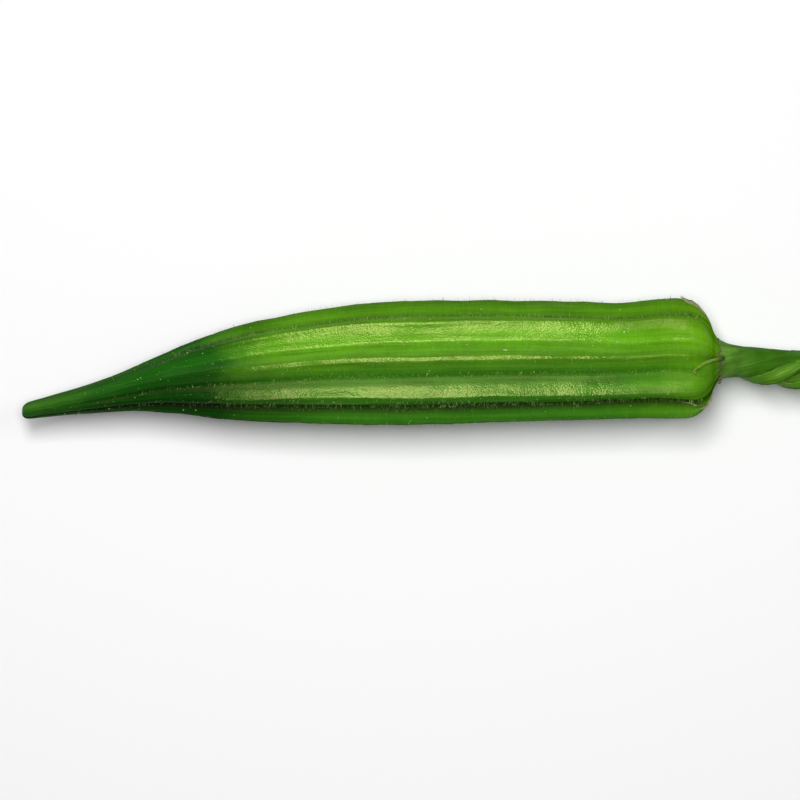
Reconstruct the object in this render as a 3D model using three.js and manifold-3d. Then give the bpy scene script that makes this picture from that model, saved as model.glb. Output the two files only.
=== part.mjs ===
// A whole okra pod as picked, lying on its side: a ridged green capsule that tapers to a bowed, blunt tip,
// its stalk with the bark torn loose and wound round it, the dry rim that the fallen calyx left at the
// stalk's root, and one thin curled bract.
// Millimetres, +Z up. The pod lies along X with its stalk at +X, and rests on two ridges at Z = 0.
// The origin is the middle of the underside of the pod's box.
import * as THREE from "three";
import { mergeVertices } from "three/addons/utils/BufferGeometryUtils.js";
import Module from "manifold-3d";

const wasm = await Module();
wasm.setup();

// Driving dimensions. A station is a distance along X from the tip.
const POD_LENGTH = 130;
const POD_RADIUS = 11.6;
const STALK_LENGTH = 27;
const STALK_RADIUS = 2.85;
const STALK_ROOT_RADIUS = 3.9;
const GAP = 0.3;

// The capsule's outline over its ridges: station, then radius.
const OUTLINE = [
  [0, 0], [0.1, 0.85], [0.8, 1.45], [4, 1.85], [11, 2.55], [18.4, 3.6], [25.9, 5.3], [33.3, 7.3],
  [40.8, 8.95], [52, 10.35], [64, 11.3], [78, POD_RADIUS], [100, 11.2], [112, 10.9], [120, 11.3],
  [123, 11.25], [125, 10.8], [126.6, 9.7], [128.2, 7.5], [129.2, 5.1], [POD_LENGTH, 4.1],
];
// Where each ridge runs: degrees round the capsule from its top, towards +Y.
const RIDGES = [3.5, 44, 83.5, 122, 161, 199, 240, 282, 323];
const RIDGE_SHARPNESS = 1.2;
const CREST_ROUNDING = 0.4;
// How deep the grooves are, as a share of the radius: station, then share.
const GROOVES = [
  [0, 0.04], [12, 0.1], [24, 0.15], [40, 0.2], [105, 0.2], [118, 0.23], [124, 0.18], [POD_LENGTH, 0],
];
// How far the capsule's axis lies to the side, towards +Y: station, then distance.
const AXIS = [
  [0, -9.35], [7, -8], [15, -6.45], [22, -4.9], [30, -3.4], [45, -1.8], [60, -0.75], [80, -0.2],
  [100, 0], [112, 0.05], [121, 0.45], [127, 0.15], [POD_LENGTH, 0.25],
];
// The tip hangs a little lower than the rest.
const DROOP = { drop: 1.8, length: 60 };

const STEPS_PER_RIDGE = 8;
const RINGS = 42;
const REST_CUT = 0.3;

const degrees = THREE.MathUtils.degToRad;

// A value read off a list of stations, with straight runs between them.
function readOff(list, station) {
  const found = list.findIndex(([s]) => s >= station);
  const next = found < 0 ? list.length - 1 : Math.max(1, found);
  const [s0, v0] = list[next - 1];
  const [s1, v1] = list[next];
  return THREE.MathUtils.lerp(v0, v1, THREE.MathUtils.clamp((station - s0) / (s1 - s0), 0, 1));
}

// A smooth curve through a list of stations and values, as points with x for the value and y for the station.
function smooth(list) {
  const points = list.map(([station, value]) => new THREE.Vector3(value, station, 0));
  return new THREE.CatmullRomCurve3(points, false, "centripetal");
}

// The middle of the capsule at a station.
const axisPoints = smooth(AXIS).getPoints(90).map(({ x, y }) => [y, x]);
function axisAt(station) {
  const low = DROOP.drop * Math.max(0, 1 - station / DROOP.length) ** 2;
  return new THREE.Vector3(station, readOff(axisPoints, station), -low);
}

// A point of the capsule's skin. The turn counts ridges from the one on top: 0.5 is in the first groove.
function skinPoint(station, radius, turn) {
  const ridge = Math.floor(turn);
  const phase = turn - ridge;
  const from = RIDGES[ridge % RIDGES.length] + 360 * Math.floor(ridge / RIDGES.length);
  const to = RIDGES[(ridge + 1) % RIDGES.length] + 360 * Math.floor((ridge + 1) / RIDGES.length);
  const angle = degrees(THREE.MathUtils.lerp(from, to, phase));
  const off = Math.hypot(Math.sin(Math.PI * phase), CREST_ROUNDING) - CREST_ROUNDING;
  const fall = (off / (Math.hypot(1, CREST_ROUNDING) - CREST_ROUNDING)) ** RIDGE_SHARPNESS;
  const reach = radius * (1 - readOff(GROOVES, station) * fall);
  return axisAt(station).add(new THREE.Vector3(0, reach * Math.sin(angle), reach * Math.cos(angle)));
}

// A point above the capsule's skin. The way along goes from 0 at the tip to 1 at the stalk's seat.
const outline = smooth(OUTLINE);
function aboveSkin(way, turn, height) {
  const point = outline.getPoint(way);
  const tangent = outline.getTangent(way);
  return skinPoint(point.y - tangent.x * height, point.x + tangent.y * height, turn);
}

// Moves each vertex of a geometry to the place that a function gives it.
function reshape(geometry, place) {
  const position = geometry.getAttribute("position");
  const vertex = new THREE.Vector3();
  for (let i = 0; i < position.count; i++) {
    const moved = place(vertex.fromBufferAttribute(position, i));
    position.setXYZ(i, moved.x, moved.y, moved.z);
  }
  return geometry;
}

function toSolid(geometry) {
  const bare = geometry.clone();
  bare.deleteAttribute("normal");
  bare.deleteAttribute("uv");
  const merged = mergeVertices(bare, 1e-4);
  const vertProperties = new Float32Array(merged.getAttribute("position").array);
  const solid = new wasm.Manifold(
    new wasm.Mesh({ numProp: 3, vertProperties, triVerts: new Uint32Array(merged.index.array) }),
  );
  if (solid.volume() < 0) throw new Error("a solid's faces point inwards");
  return solid;
}

function toGeometry(solid) {
  const mesh = solid.getMesh();
  const geometry = new THREE.BufferGeometry();
  geometry.setAttribute("position", new THREE.BufferAttribute(new Float32Array(mesh.vertProperties), 3));
  geometry.setIndex(new THREE.BufferAttribute(new Uint32Array(mesh.triVerts), 1));
  geometry.computeVertexNormals();
  return geometry;
}

// A round bar along a curve. The radius and the bar's flutes come from functions of the way along it.
function barAlong(curve, radiusAt, sides, steps) {
  const frames = curve.computeFrenetFrames(steps, false);
  return reshape(new THREE.CylinderGeometry(1, 1, 1, sides, steps), (v) => {
    const along = v.y + 0.5;
    const k = Math.round(along * steps);
    const turn = Math.atan2(v.z, v.x);
    const reach = Math.hypot(v.x, v.z) * radiusAt(along, turn);
    return curve
      .getPointAt(along)
      .addScaledVector(frames.normals[k], reach * Math.cos(turn))
      .addScaledVector(frames.binormals[k], reach * -Math.sin(turn));
  });
}

// A flat strip: the function places a point from its way along, its way across (-1 to 1) and its height.
function strip(thickness, steps, across, place) {
  return reshape(new THREE.BoxGeometry(1, 2, thickness, steps, across, 1), (v) => place(v.x + 0.5, v.y, v.z));
}

// The capsule: a turned form whose vertices are then moved out to the ridges and into the grooves.
const profile = outline.getPoints(RINGS).map(({ x, y }) => new THREE.Vector2(Math.max(x, 0), y));
profile[0].x = 0;
profile.push(new THREE.Vector2(0, POD_LENGTH));
profile.reverse();

const lathe = new THREE.LatheGeometry(profile, RIDGES.length * STEPS_PER_RIDGE);
reshape(lathe, (v) => {
  const radius = Math.hypot(v.x, v.z);
  const share = (Math.atan2(v.x, v.z) / (2 * Math.PI) + 1) % 1;
  const step = Math.round(share * RIDGES.length * STEPS_PER_RIDGE) % (RIDGES.length * STEPS_PER_RIDGE);
  return skinPoint(v.y, radius, step / STEPS_PER_RIDGE);
});
const wholeCapsule = toSolid(lathe);

// It rests on two ridges, each with a long narrow flat.
const lowest = wholeCapsule.boundingBox().min[2];
const FLOOR = lowest + REST_CUT;
const slab = new THREE.BoxGeometry(2 * POD_LENGTH, 6 * POD_RADIUS, POD_RADIUS);
slab.translate(POD_LENGTH / 2, 0, FLOOR - POD_RADIUS / 2);
const capsule = wholeCapsule.subtract(toSolid(slab));

// The stalk: a flared root, a slightly fluted core, and strips of torn bark wound round it.
const STALK_START = POD_LENGTH + GAP;
const stalkLine = new THREE.CatmullRomCurve3([
  new THREE.Vector3(STALK_START, 0.25, 0),
  new THREE.Vector3(STALK_START + 1.2, 0.2, 0),
  new THREE.Vector3(STALK_START + 4.75, -0.1, -0.1),
  new THREE.Vector3(STALK_START + 10, -0.45, -0.4),
  new THREE.Vector3(STALK_START + 15, -1.15, -0.7),
  new THREE.Vector3(STALK_START + STALK_LENGTH, -3.6, -1.6),
]);
const FLARE_REACH = 1.7;
const FLUTES = { count: 7, depth: 0.07 };
function stalkRadius(along, turn) {
  const flare = (STALK_ROOT_RADIUS - STALK_RADIUS) * Math.exp((-along * STALK_LENGTH) / FLARE_REACH);
  return STALK_RADIUS + flare - FLUTES.depth * (1 + Math.cos(FLUTES.count * turn));
}

// Each strip of bark: where it starts and ends along the stalk in millimetres, the angle that it starts at in
// degrees from the top towards +Y, its turn in degrees per millimetre, its width, and how far it lifts off.
const BARK = [
  { start: 4.6, end: 25.5, angle: -104, turn: 5.2, width: 4.6, lift: 1.6 },
  { start: 9.2, end: 26.4, angle: 58, turn: 5.6, width: 3.8, lift: 0.8 },
  { start: 13.5, end: 24.6, angle: -150, turn: 6.0, width: 3.4, lift: 0.9 },
];
const BARK_THICKNESS = 0.7;
const BARK_SUNK = 0.1;
// A strip is narrower at its ends, and one of its edges lifts off less than the other.
const BARK_END_WIDTH = 0.4;
const BARK_NEAR_LIFT = 0.25;

function barkStrip({ start, end, angle, turn, width, lift }) {
  return strip(BARK_THICKNESS, 18, 4, (along, across, height) => {
    const run = THREE.MathUtils.lerp(start, end, along);
    const swell = Math.sin(Math.PI * along) ** 0.7;
    const half = (width / 2) * THREE.MathUtils.lerp(BARK_END_WIDTH, 1, swell);
    const round = degrees(angle + turn * (run - start)) + (across * half) / STALK_RADIUS;
    const raised = lift * swell * THREE.MathUtils.lerp(BARK_NEAR_LIFT, 1, ((across + 1) / 2) ** 2);
    const reach = STALK_RADIUS - BARK_SUNK + raised + height;
    const middle = stalkLine.getPointAt(run / STALK_LENGTH);
    return middle.add(new THREE.Vector3(0, reach * Math.sin(round), reach * Math.cos(round)));
  });
}
const stalk = BARK.map(barkStrip).reduce(
  (joined, geometry) => joined.add(toSolid(geometry)),
  toSolid(barAlong(stalkLine, stalkRadius, 24, 20)),
);

// The rim: a crusty ring round the stalk's root, with two dry slivers of calyx that lie on the shoulder.
const RIM = { radius: 4.65, thickness: 0.35 };
const ring = new THREE.TorusGeometry(RIM.radius, RIM.thickness, 6, 36);
ring.rotateY(Math.PI / 2);
ring.translate(POD_LENGTH + GAP + RIM.thickness / 2, axisAt(POD_LENGTH).y, 0);

// Each sliver: the ridge that it lies at, the way along the capsule to its free end, its width, and how far
// its free end lifts. Between two whole numbers it lies in a groove.
const SLIVERS = [
  { turn: 2, end: 0.715, width: 1.5, lift: 0.9 },
  { turn: 7.45, end: 0.765, width: 1.9, lift: 0.3 },
];
const SLIVER = { root: 0.992, thickness: 0.6, clearance: 0.4 };
function sliver({ turn, end, width, lift }) {
  return strip(SLIVER.thickness, 14, 2, (along, across, height) => {
    const way = THREE.MathUtils.lerp(SLIVER.root, end, along);
    const half = (width / 2) * (1 - 0.6 * along ** 2);
    const ridgeWidth = (2 * Math.PI * outline.getPoint(way).x) / RIDGES.length;
    const above = SLIVER.clearance + SLIVER.thickness / 2 + height + lift * along ** 4;
    return aboveSkin(way, turn - (across * half) / ridgeWidth, above);
  });
}
const rim = SLIVERS.map(sliver).reduce((joined, geometry) => joined.add(toSolid(geometry)), toSolid(ring));

// The bract: a thin tapered thread that leaves the rim and curls over the top of the shoulder. Each point has
// its way along the capsule, the ridge that it is at, and its height above the skin.
const BRACT_ROOT = 0.42;
const BRACT_TIP = 0.3;
const BRACT = [
  [0.965, 9.1, 1],
  [0.94, 9.05, 0.85],
  [0.9, 8.97, 0.75],
  [0.85, 8.88, 0.75],
  [0.81, 8.77, 0.8],
  [0.785, 8.63, 0.8],
];
const bractLine = new THREE.CatmullRomCurve3(BRACT.map((place) => aboveSkin(...place)));
const bract = barAlong(bractLine, (along) => THREE.MathUtils.lerp(BRACT_ROOT, BRACT_TIP, along), 8, 20);

// The assembly
const MATERIALS = {
  pod: { color: 0x4f9a1e, roughness: 0.38 },
  stalk: { color: 0x2f6a1c, roughness: 0.55 },
  calyx_rim: { color: 0x7d6a45, roughness: 0.85 },
  bract: { color: 0x7f9a2e, roughness: 0.6 },
};
const okra = new THREE.Group();
function addPiece(name, geometry) {
  const mesh = new THREE.Mesh(geometry, new THREE.MeshStandardMaterial({ ...MATERIALS[name], metalness: 0 }));
  mesh.name = name;
  mesh.position.z = -FLOOR;
  okra.add(mesh);
}
addPiece("pod", toGeometry(capsule));
addPiece("stalk", toGeometry(stalk));
addPiece("calyx_rim", toGeometry(rim));
addPiece("bract", bract);

const middle = new THREE.Box3().setFromObject(okra, true).getCenter(new THREE.Vector3());
okra.position.set(-middle.x, -middle.y, 0);

export default okra;
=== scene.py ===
"""A whole okra pod lying on a pale floor.

It has ridged green skin with short hairs, a stalk wound round with its own torn bark, the dry rim of the
fallen calyx and one thin curled bract.
"""

import math
import random

import bmesh
import bpy
from bpy.props import FloatProperty, FloatVectorProperty, IntProperty, PointerProperty
from mathutils import Matrix, Vector, noise


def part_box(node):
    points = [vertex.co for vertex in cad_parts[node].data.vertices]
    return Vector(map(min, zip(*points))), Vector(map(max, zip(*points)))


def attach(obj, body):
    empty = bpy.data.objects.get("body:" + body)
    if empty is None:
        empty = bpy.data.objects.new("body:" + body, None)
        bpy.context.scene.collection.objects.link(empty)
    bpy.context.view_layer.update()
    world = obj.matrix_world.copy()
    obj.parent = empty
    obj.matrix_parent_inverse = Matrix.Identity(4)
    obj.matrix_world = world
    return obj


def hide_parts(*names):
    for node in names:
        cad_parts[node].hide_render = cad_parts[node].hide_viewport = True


bl_info = {
    "name": "Okra Pod",
    "version": (1, 0, 0),
    "blender": (4, 5, 0),
    "location": "3D View > Sidebar > Okra Pod",
    "description": "Builds an okra pod's skin, hairs, stalk, calyx rim and bract around its solids",
    "category": "Add Mesh",
}

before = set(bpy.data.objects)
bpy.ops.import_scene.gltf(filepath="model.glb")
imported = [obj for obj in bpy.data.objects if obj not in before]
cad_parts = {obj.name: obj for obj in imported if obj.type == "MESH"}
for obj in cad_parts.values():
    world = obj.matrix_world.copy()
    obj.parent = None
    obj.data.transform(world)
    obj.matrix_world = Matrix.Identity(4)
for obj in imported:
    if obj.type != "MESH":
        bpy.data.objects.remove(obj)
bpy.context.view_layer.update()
BODY = "root"
MM = 0.001

# The pod's form, in millimetres. A station is a distance from the tip, along the pod towards the stalk.
POD_LENGTH = 130.0
POD_RADIUS = 11.6
# How much the lowest ridges are cut off flat where the pod rests.
REST_CUT = 0.3
# The outline over the ridges: station, then radius.
OUTLINE = (
    (0, 0), (0.1, 0.85), (0.8, 1.45), (4, 1.85), (11, 2.55), (18.4, 3.6), (25.9, 5.3), (33.3, 7.3),
    (40.8, 8.95), (52, 10.35), (64, 11.3), (78, POD_RADIUS), (100, 11.2), (112, 10.9), (120, 11.3),
    (123, 11.25), (125, 10.8), (126.6, 9.7), (128.1, 7.5), (129, 5.1), (POD_LENGTH, 3.6),
)
# Where each ridge runs: degrees round the pod from its top, towards +Y.
RIDGES = (3.5, 44, 83.5, 122, 161, 199, 240, 282, 323)
# How straight the ridges' flanks are: 1 would leave no rounding on crests and in grooves.
FLANK_STRAIGHTNESS = 0.945
# How deep the grooves are, as a share of the radius: station, then share.
GROOVES = ((0, 0.04), (12, 0.1), (24, 0.15), (40, 0.2), (105, 0.2), (118, 0.23), (124, 0.18), (POD_LENGTH, 0))
# How far the axis lies towards +Y: station, then distance.
AXIS = (
    (0, -9.35), (7, -8), (15, -6.45), (22, -4.9), (30, -3.4), (45, -1.8), (60, -0.75), (80, -0.2),
    (100, 0), (112, 0.05), (121, 0.45), (127, 0.15), (POD_LENGTH, 0.25),
)
# How far the tip hangs below the axis of the body, and from what station on it starts to.
DROOP = 1.8
DROOP_LENGTH = 60.0

STALK_LENGTH = 27.0
STALK_RADIUS = 2.8
# The stalk's middle line, in millimetres past the pod's seat: along, to the side and up.
STALK_LINE = (
    (0, 0.3, 0), (1.2, 0.2, 0), (4.75, -0.1, -0.1), (10, -0.45, -0.4), (15, -1.15, -0.7),
    (STALK_LENGTH, -3.6, -1.6),
)


def smooth_line(points, steps):
    """A centripetal curve through points, as vectors with the given steps between each two."""
    points = [Vector(point) for point in points]
    ends = [2 * points[0] - points[1], *points, 2 * points[-1] - points[-2]]
    line = [points[0]]
    for a, b, c, d in zip(ends, ends[1:], ends[2:], ends[3:]):
        times = [0.0]
        for before, after in ((a, b), (b, c), (c, d)):
            times.append(times[-1] + max(math.sqrt((after - before).length), 1e-6))
        for step in range(1, steps + 1):
            t = times[1] + (times[2] - times[1]) * step / steps
            spans = zip((a, b, c), (b, c, d), times, times[1:])
            first = [p.lerp(q, (t - start) / (end - start)) for p, q, start, end in spans]
            spans = zip(first, first[1:], times, times[2:])
            second = [p.lerp(q, (t - start) / (end - start)) for p, q, start, end in spans]
            line.append(second[0].lerp(second[1], (t - times[1]) / (times[2] - times[1])))
    return line


def read_off(table, station):
    """A value from a list of stations and values, with straight runs between them."""
    for (start, low), (end, high) in zip(table, table[1:]):
        if station <= end:
            return low + (high - low) * min(1.0, max(0.0, (station - start) / (end - start)))
    return table[-1][1]


def smooth_step(low, high, value):
    """0 at low and 1 at high, with a smooth way between them. Low may be the greater of the two."""
    share = min(1.0, max(0.0, (value - low) / (high - low)))
    return share * share * (3 - 2 * share)


# How far apart the values of a sampled list lie, in millimetres.
SPACING = 0.25


def sampled(table):
    """A list of values at even stations, so that reading it is quick."""
    return [read_off(table, step * SPACING) for step in range(int(table[-1][0] / SPACING) + 2)]


def value_at(values, station):
    """A value from a sampled list."""
    place = min(max(station / SPACING, 0.0), len(values) - 1.001)
    index = int(place)
    return values[index] + (values[index + 1] - values[index]) * (place - index)


def smooth_table(table, steps):
    """A list of stations and values, with a smooth curve between them."""
    return [(point.x, point.y) for point in smooth_line([(*row, 0) for row in table], steps)]


OUTLINE_STEPS = 12
AXIS_STEPS = 10
OUTLINE_LINE = [(station, max(radius, 0.0)) for station, radius in smooth_table(OUTLINE, OUTLINE_STEPS)]
RADIUS_VALUES = sampled(OUTLINE_LINE)
AXIS_VALUES = sampled(smooth_table(AXIS, AXIS_STEPS))
GROOVE_VALUES = sampled(GROOVES)


def axis_at(station):
    low = DROOP * max(0.0, 1 - station / DROOP_LENGTH) ** 2
    return Vector((station, value_at(AXIS_VALUES, station), -low))


def ridge_angle(turn):
    """The angle round the pod for a turn, which counts ridges from the top one. 0.5 is the first groove."""
    ridge = math.floor(turn)
    count = len(RIDGES)
    start = RIDGES[ridge % count] + 360 * (ridge // count)
    end = RIDGES[(ridge + 1) % count] + 360 * ((ridge + 1) // count)
    return math.radians(start + (end - start) * (turn - ridge))


def groove_share(turn):
    """0 on a ridge's crest and 1 in the middle of a groove."""
    wave = math.asin(FLANK_STRAIGHTNESS * math.cos(math.tau * turn)) / math.asin(FLANK_STRAIGHTNESS)
    return (1 - wave) / 2


def round_offset(angle, reach):
    """The way out from a middle line, for an angle from the top towards +Y."""
    return Vector((0, reach * math.sin(angle), reach * math.cos(angle)))


def skin_point(station, radius, turn, proud=0.0):
    """A point of the skin, or of what stands proud of it by some millimetres."""
    reach = radius * (1 - value_at(GROOVE_VALUES, station) * groove_share(turn)) + proud
    return axis_at(station) + round_offset(ridge_angle(turn), reach)


# The last way along the outline that still has a piece of it ahead.
LAST_WAY = 0.9999


def above_skin(way, turn, height):
    """A point above the plain skin. The way along the outline goes from 0 at the tip to 1 at the seat."""
    place = min(max(way, 0.0), LAST_WAY) * (len(OUTLINE_LINE) - 1)
    index = int(place)
    start = Vector(OUTLINE_LINE[index])
    end = Vector(OUTLINE_LINE[index + 1])
    here = start.lerp(end, place - index)
    slope = (end - start).normalized()
    return skin_point(here.x - slope.y * height, here.y + slope.x * height, turn)


def pod_origin():
    """Where station 0 of the axis lies in the frame, in millimetres."""
    stations = range(0, int(POD_LENGTH), 2)
    crests = [
        skin_point(s, value_at(RADIUS_VALUES, s), ridge) for s in stations for ridge in range(len(RIDGES))
    ]
    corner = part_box("pod")[0] / MM
    return Vector((
        corner.x,
        corner.y - min(point.y for point in crests),
        corner.z - min(point.z for point in crests) - REST_CUT,
    ))


ORIGIN = pod_origin()
TO_FRAME = Matrix.Scale(MM, 4) @ Matrix.Translation(ORIGIN)


def srgb(red, green, blue):
    """A colour given as 0 to 255 per channel, in the linear values that materials use."""
    shares = (channel / 255 for channel in (red, green, blue))
    return tuple(share / 12.92 if share <= 0.04045 else ((share + 0.055) / 1.055) ** 2.4 for share in shares)


def colour_property(name, description, colour):
    return FloatVectorProperty(
        name=name, description=description, subtype="COLOR", size=3, min=0, max=1, default=srgb(*colour)
    )


def length_property(name, description, millimetres):
    return FloatProperty(
        name=name, description=description, unit="LENGTH", min=0, precision=6, default=millimetres * MM
    )


def brightness_property(name, description, brightness):
    return FloatProperty(name=name, description=description, min=0, default=brightness)


class SkinSettings(bpy.types.PropertyGroup):
    """Sizes and colours of the pod's skin."""

    rib_height: length_property("Rib Height", "How far the flat rib stands up on each ridge", 0.03)
    lump_height: length_property("Lump Height", "How far the skin swells and sinks along the pod", 0.2)
    grain_depth: length_property("Grain Depth", "How deep the skin's fine grain is", 0.055)
    # The sunny and shady greens are lit and shaded copies of the skin's green: painted light and shade. The
    # greens near the tip are darker partly in the skin's own colour and partly as painted shade.
    lit_green: colour_property("Lit Green", "The sunny side of the pod's body", (96, 162, 26))
    shoulder_green: colour_property("Shoulder Green", "The skin at the stalk's end", (98, 160, 18))
    deep_green: colour_property("Deep Green", "The sunny side near the tip", (30, 94, 18))
    tip_green: colour_property("Tip Green", "The skin at the tip itself", (60, 119, 29))
    shady_green: colour_property("Shady Green", "The shady side of the pod's body", (62, 132, 26))
    dark_green: colour_property("Dark Green", "The shady side near the tip", (13, 64, 8))
    gloss_tint: colour_property("Gloss Tint", "The tint of the skin's waxy gloss", (252, 250, 158))


class HairSettings(bpy.types.PropertyGroup):
    """Sizes and number of the skin's hairs."""

    count: IntProperty(name="Hairs", description="How many hairs the skin has", min=0, default=12000)
    length: length_property("Hair Length", "The length of a long hair", 0.85)
    thickness: length_property("Hair Thickness", "How thick a hair is at its root", 0.065)
    colour: colour_property("Hair Colour", "The hairs", (176, 206, 110))
    fleck_colour: colour_property("Fleck Colour", "The pale flecks and nicks on the skin", (214, 222, 172))


class StalkSettings(bpy.types.PropertyGroup):
    """Sizes and colours of the stalk and its bark."""

    radius: length_property("Stalk Radius", "The stalk's radius past its flare", STALK_RADIUS)
    flare: length_property("Flare", "How much wider the stalk is where it meets the pod", 0.93)
    bark_thickness: length_property("Bark Thickness", "How thick a torn strip of bark is", 0.3)
    bark_green: colour_property("Bark Green", "The bark's outside", (56, 108, 12))
    root_green: colour_property("Root Green", "The bark where it meets the pod", (90, 134, 46))
    inner_green: colour_property("Inner Green", "The bark's inside and the bare wood", (84, 134, 30))
    fibre_pale: colour_property("Pale Fibre", "Loose fibres and streaks in the bare wood", (138, 180, 70))
    # The torn edges' dark colour is dried bark, and on the strips also painted shade of the gaps between
    # them.
    dried_edge_and_shade: colour_property("Torn Edge", "The bark's torn edge, where it has dried", (42, 54, 18))
    pith: colour_property("Pith", "The middle of the stalk's cut end", (214, 216, 158))


class CalyxSettings(bpy.types.PropertyGroup):
    """Sizes and colours of the dry calyx and the bract."""

    crust_thickness: length_property("Crust Thickness", "How thick the crusty rim is", 0.26)
    sliver_thickness: length_property("Sliver Thickness", "How thick a dry sliver is", 0.12)
    dry_tan: colour_property("Dry Tan", "The dry calyx where it is pale", (160, 160, 110))
    dry_brown: colour_property("Dry Brown", "The dry calyx where it is dark", (64, 50, 28))
    bract_green: colour_property("Bract Green", "The bract's outer end", (128, 166, 50))
    bract_dark: colour_property("Bract Dark", "The bract's root", (52, 76, 20))


class StageSettings(bpy.types.PropertyGroup):
    """The floor, the lights and the camera."""

    camera_height: length_property("Camera Height", "How high the camera hangs over the floor", 1000)
    view_width: length_property("View Width", "How much of the pod's length the picture takes in", 149)
    floor_colour: colour_property("Floor Colour", "The plain floor", (250, 250, 250))
    key_strength: brightness_property("Key Light", "How bright the soft box over the pod is", 18.6)
    side_strength: brightness_property("Side Light", "How bright the soft box beyond the stalk is", 2.5)
    room_strength: brightness_property("Room Light", "How bright the light from all round is", 0.08)


SETTINGS = {
    "okra_skin": SkinSettings,
    "okra_hairs": HairSettings,
    "okra_stalk": StalkSettings,
    "okra_calyx": CalyxSettings,
    "okra_stage": StageSettings,
}


# Meshes

# Edges sharper than this stay sharp.
SHARP_EDGE = math.radians(50)
# Vertices closer than this are one, in millimetres.
MERGE_DISTANCE = 1e-4


def finish_piece(bm, name, materials, replaced=()):
    """Puts a mesh made in the pod's own millimetres into the frame, as a piece that rides on the body."""
    for edge in bm.edges:
        edge.smooth = edge.calc_face_angle(0.0) < SHARP_EDGE
    bm.transform(TO_FRAME)
    mesh = bpy.data.meshes.new(name)
    bm.to_mesh(mesh)
    bm.free()
    piece = bpy.data.objects.new(name, mesh)
    bpy.context.collection.objects.link(piece)
    for material in materials:
        mesh.materials.append(material)
    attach(piece, BODY)
    if replaced:
        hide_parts(*replaced)


def laid_grid(bm, along_steps, across_steps, place):
    """A smooth grid. A function places each vertex from its shares along and across, from 0 to 1."""
    verts = bmesh.ops.create_grid(bm, x_segments=along_steps, y_segments=across_steps, size=0.5)["verts"]
    for vert in verts:
        vert.co = place(vert, vert.co.x + 0.5, vert.co.y + 0.5)
    for face in faces_of(verts):
        face.smooth = True
    return verts


def faces_of(verts):
    return list(dict.fromkeys(face for vert in verts for face in vert.link_faces))


def closed_tube(bm, along_steps, round_steps, place):
    """A grid whose two long sides meet, with its open ends closed."""
    verts = laid_grid(bm, along_steps, round_steps, place)
    bmesh.ops.remove_doubles(bm, verts=verts, dist=MERGE_DISTANCE)
    verts = [vert for vert in verts if vert.is_valid]
    edges = dict.fromkeys(edge for vert in verts for edge in vert.link_edges)
    rims = [edge for edge in edges if edge.is_boundary]
    bmesh.ops.holes_fill(bm, edges=rims, sides=0)
    bmesh.ops.recalc_face_normals(bm, faces=faces_of(verts))
    return verts


def swept_tube(bm, line, radius_at, round_steps):
    """A tube along a line of points. Its radius comes from the share along and the angle round."""
    count = len(line) - 1
    ahead = [(line[min(i + 1, count)] - line[max(i - 1, 0)]).normalized() for i in range(count + 1)]
    side = ahead[0].orthogonal().normalized()
    sides = []
    for direction in ahead:
        side = (side - direction * side.dot(direction)).normalized()
        sides.append(side)

    def place(vert, along, across):
        index = round(along * count)
        angle = math.tau * across
        reach = radius_at(along, angle)
        up = ahead[index].cross(sides[index])
        return line[index] + sides[index] * (reach * math.cos(angle)) + up * (reach * math.sin(angle))

    return closed_tube(bm, count, round_steps, place)


# Materials

def new_material(name):
    """A material, with its node tree and its shader."""
    material = bpy.data.materials.new(name)
    material.use_nodes = True
    return material, material.node_tree, material.node_tree.nodes["Principled BSDF"]


def add(tree, kind, inputs=None, **settings):
    """Adds a node, with its settings, and its inputs as values or links."""
    node = tree.nodes.new(kind)
    for key, value in settings.items():
        setattr(node, key, value)
    for key, value in (inputs or {}).items():
        if isinstance(value, bpy.types.NodeSocket):
            tree.links.new(value, node.inputs[key])
        else:
            node.inputs[key].default_value = value
    return node


def link(tree, socket, node, key):
    tree.links.new(socket, node.inputs[key])


def opaque(colour):
    """A colour with the fourth channel that sockets ask for."""
    return (*colour, 1.0)


def blend_colours(tree, share, first, second, blend="MIX"):
    """Mixes two colours, each a linear value or a socket."""
    sides = [side if isinstance(side, bpy.types.NodeSocket) else opaque(side) for side in (first, second)]
    settings = {"data_type": "RGBA", "blend_type": blend}
    return add(tree, "ShaderNodeMix", {0: share, 6: sides[0], 7: sides[1]}, **settings).outputs[2]


def calculate(tree, operation, first, second=0.0, third=0.0):
    """The result of a sum or the like on values or sockets."""
    return add(tree, "ShaderNodeMath", {0: first, 1: second, 2: third}, operation=operation).outputs[0]


def ramp(tree, share, *stops):
    """A colour ramp. Each stop is a position and a linear colour, or a grey value."""
    node = add(tree, "ShaderNodeValToRGB", {0: share})
    elements = node.color_ramp.elements
    while len(elements) < len(stops):
        elements.new(0.5)
    for element, (position, colour) in zip(elements, stops):
        element.position = position
        element.color = opaque((colour,) * 3 if isinstance(colour, (int, float)) else colour)
    return node.outputs[0]


def shaded(tree, colour, pattern, *stops):
    """A colour made darker or lighter by a pattern, through a ramp of grey values."""
    return blend_colours(tree, 1.0, colour, ramp(tree, pattern, *stops), "MULTIPLY")


def grain(tree, vector, scale, stretch=(1, 1, 1), detail=2.0, rough=0.5):
    """A noise pattern with a feature size of about one over its scale, in the vector's own unit."""
    mapped = add(tree, "ShaderNodeMapping", {"Vector": vector, "Scale": stretch}).outputs[0]
    inputs = {"Vector": mapped, "Scale": scale, "Detail": detail, "Roughness": rough}
    return add(tree, "ShaderNodeTexNoise", inputs).outputs[0]


def attribute(tree, name, output="Fac"):
    """What the mesh holds at a place under a name."""
    return add(tree, "ShaderNodeAttribute", attribute_name=name).outputs[output]


def millimetres(tree):
    """The place on the object, in millimetres."""
    place = add(tree, "ShaderNodeTexCoord").outputs["Object"]
    return add(tree, "ShaderNodeMapping", {"Vector": place, "Scale": (1 / MM,) * 3}).outputs[0]


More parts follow.
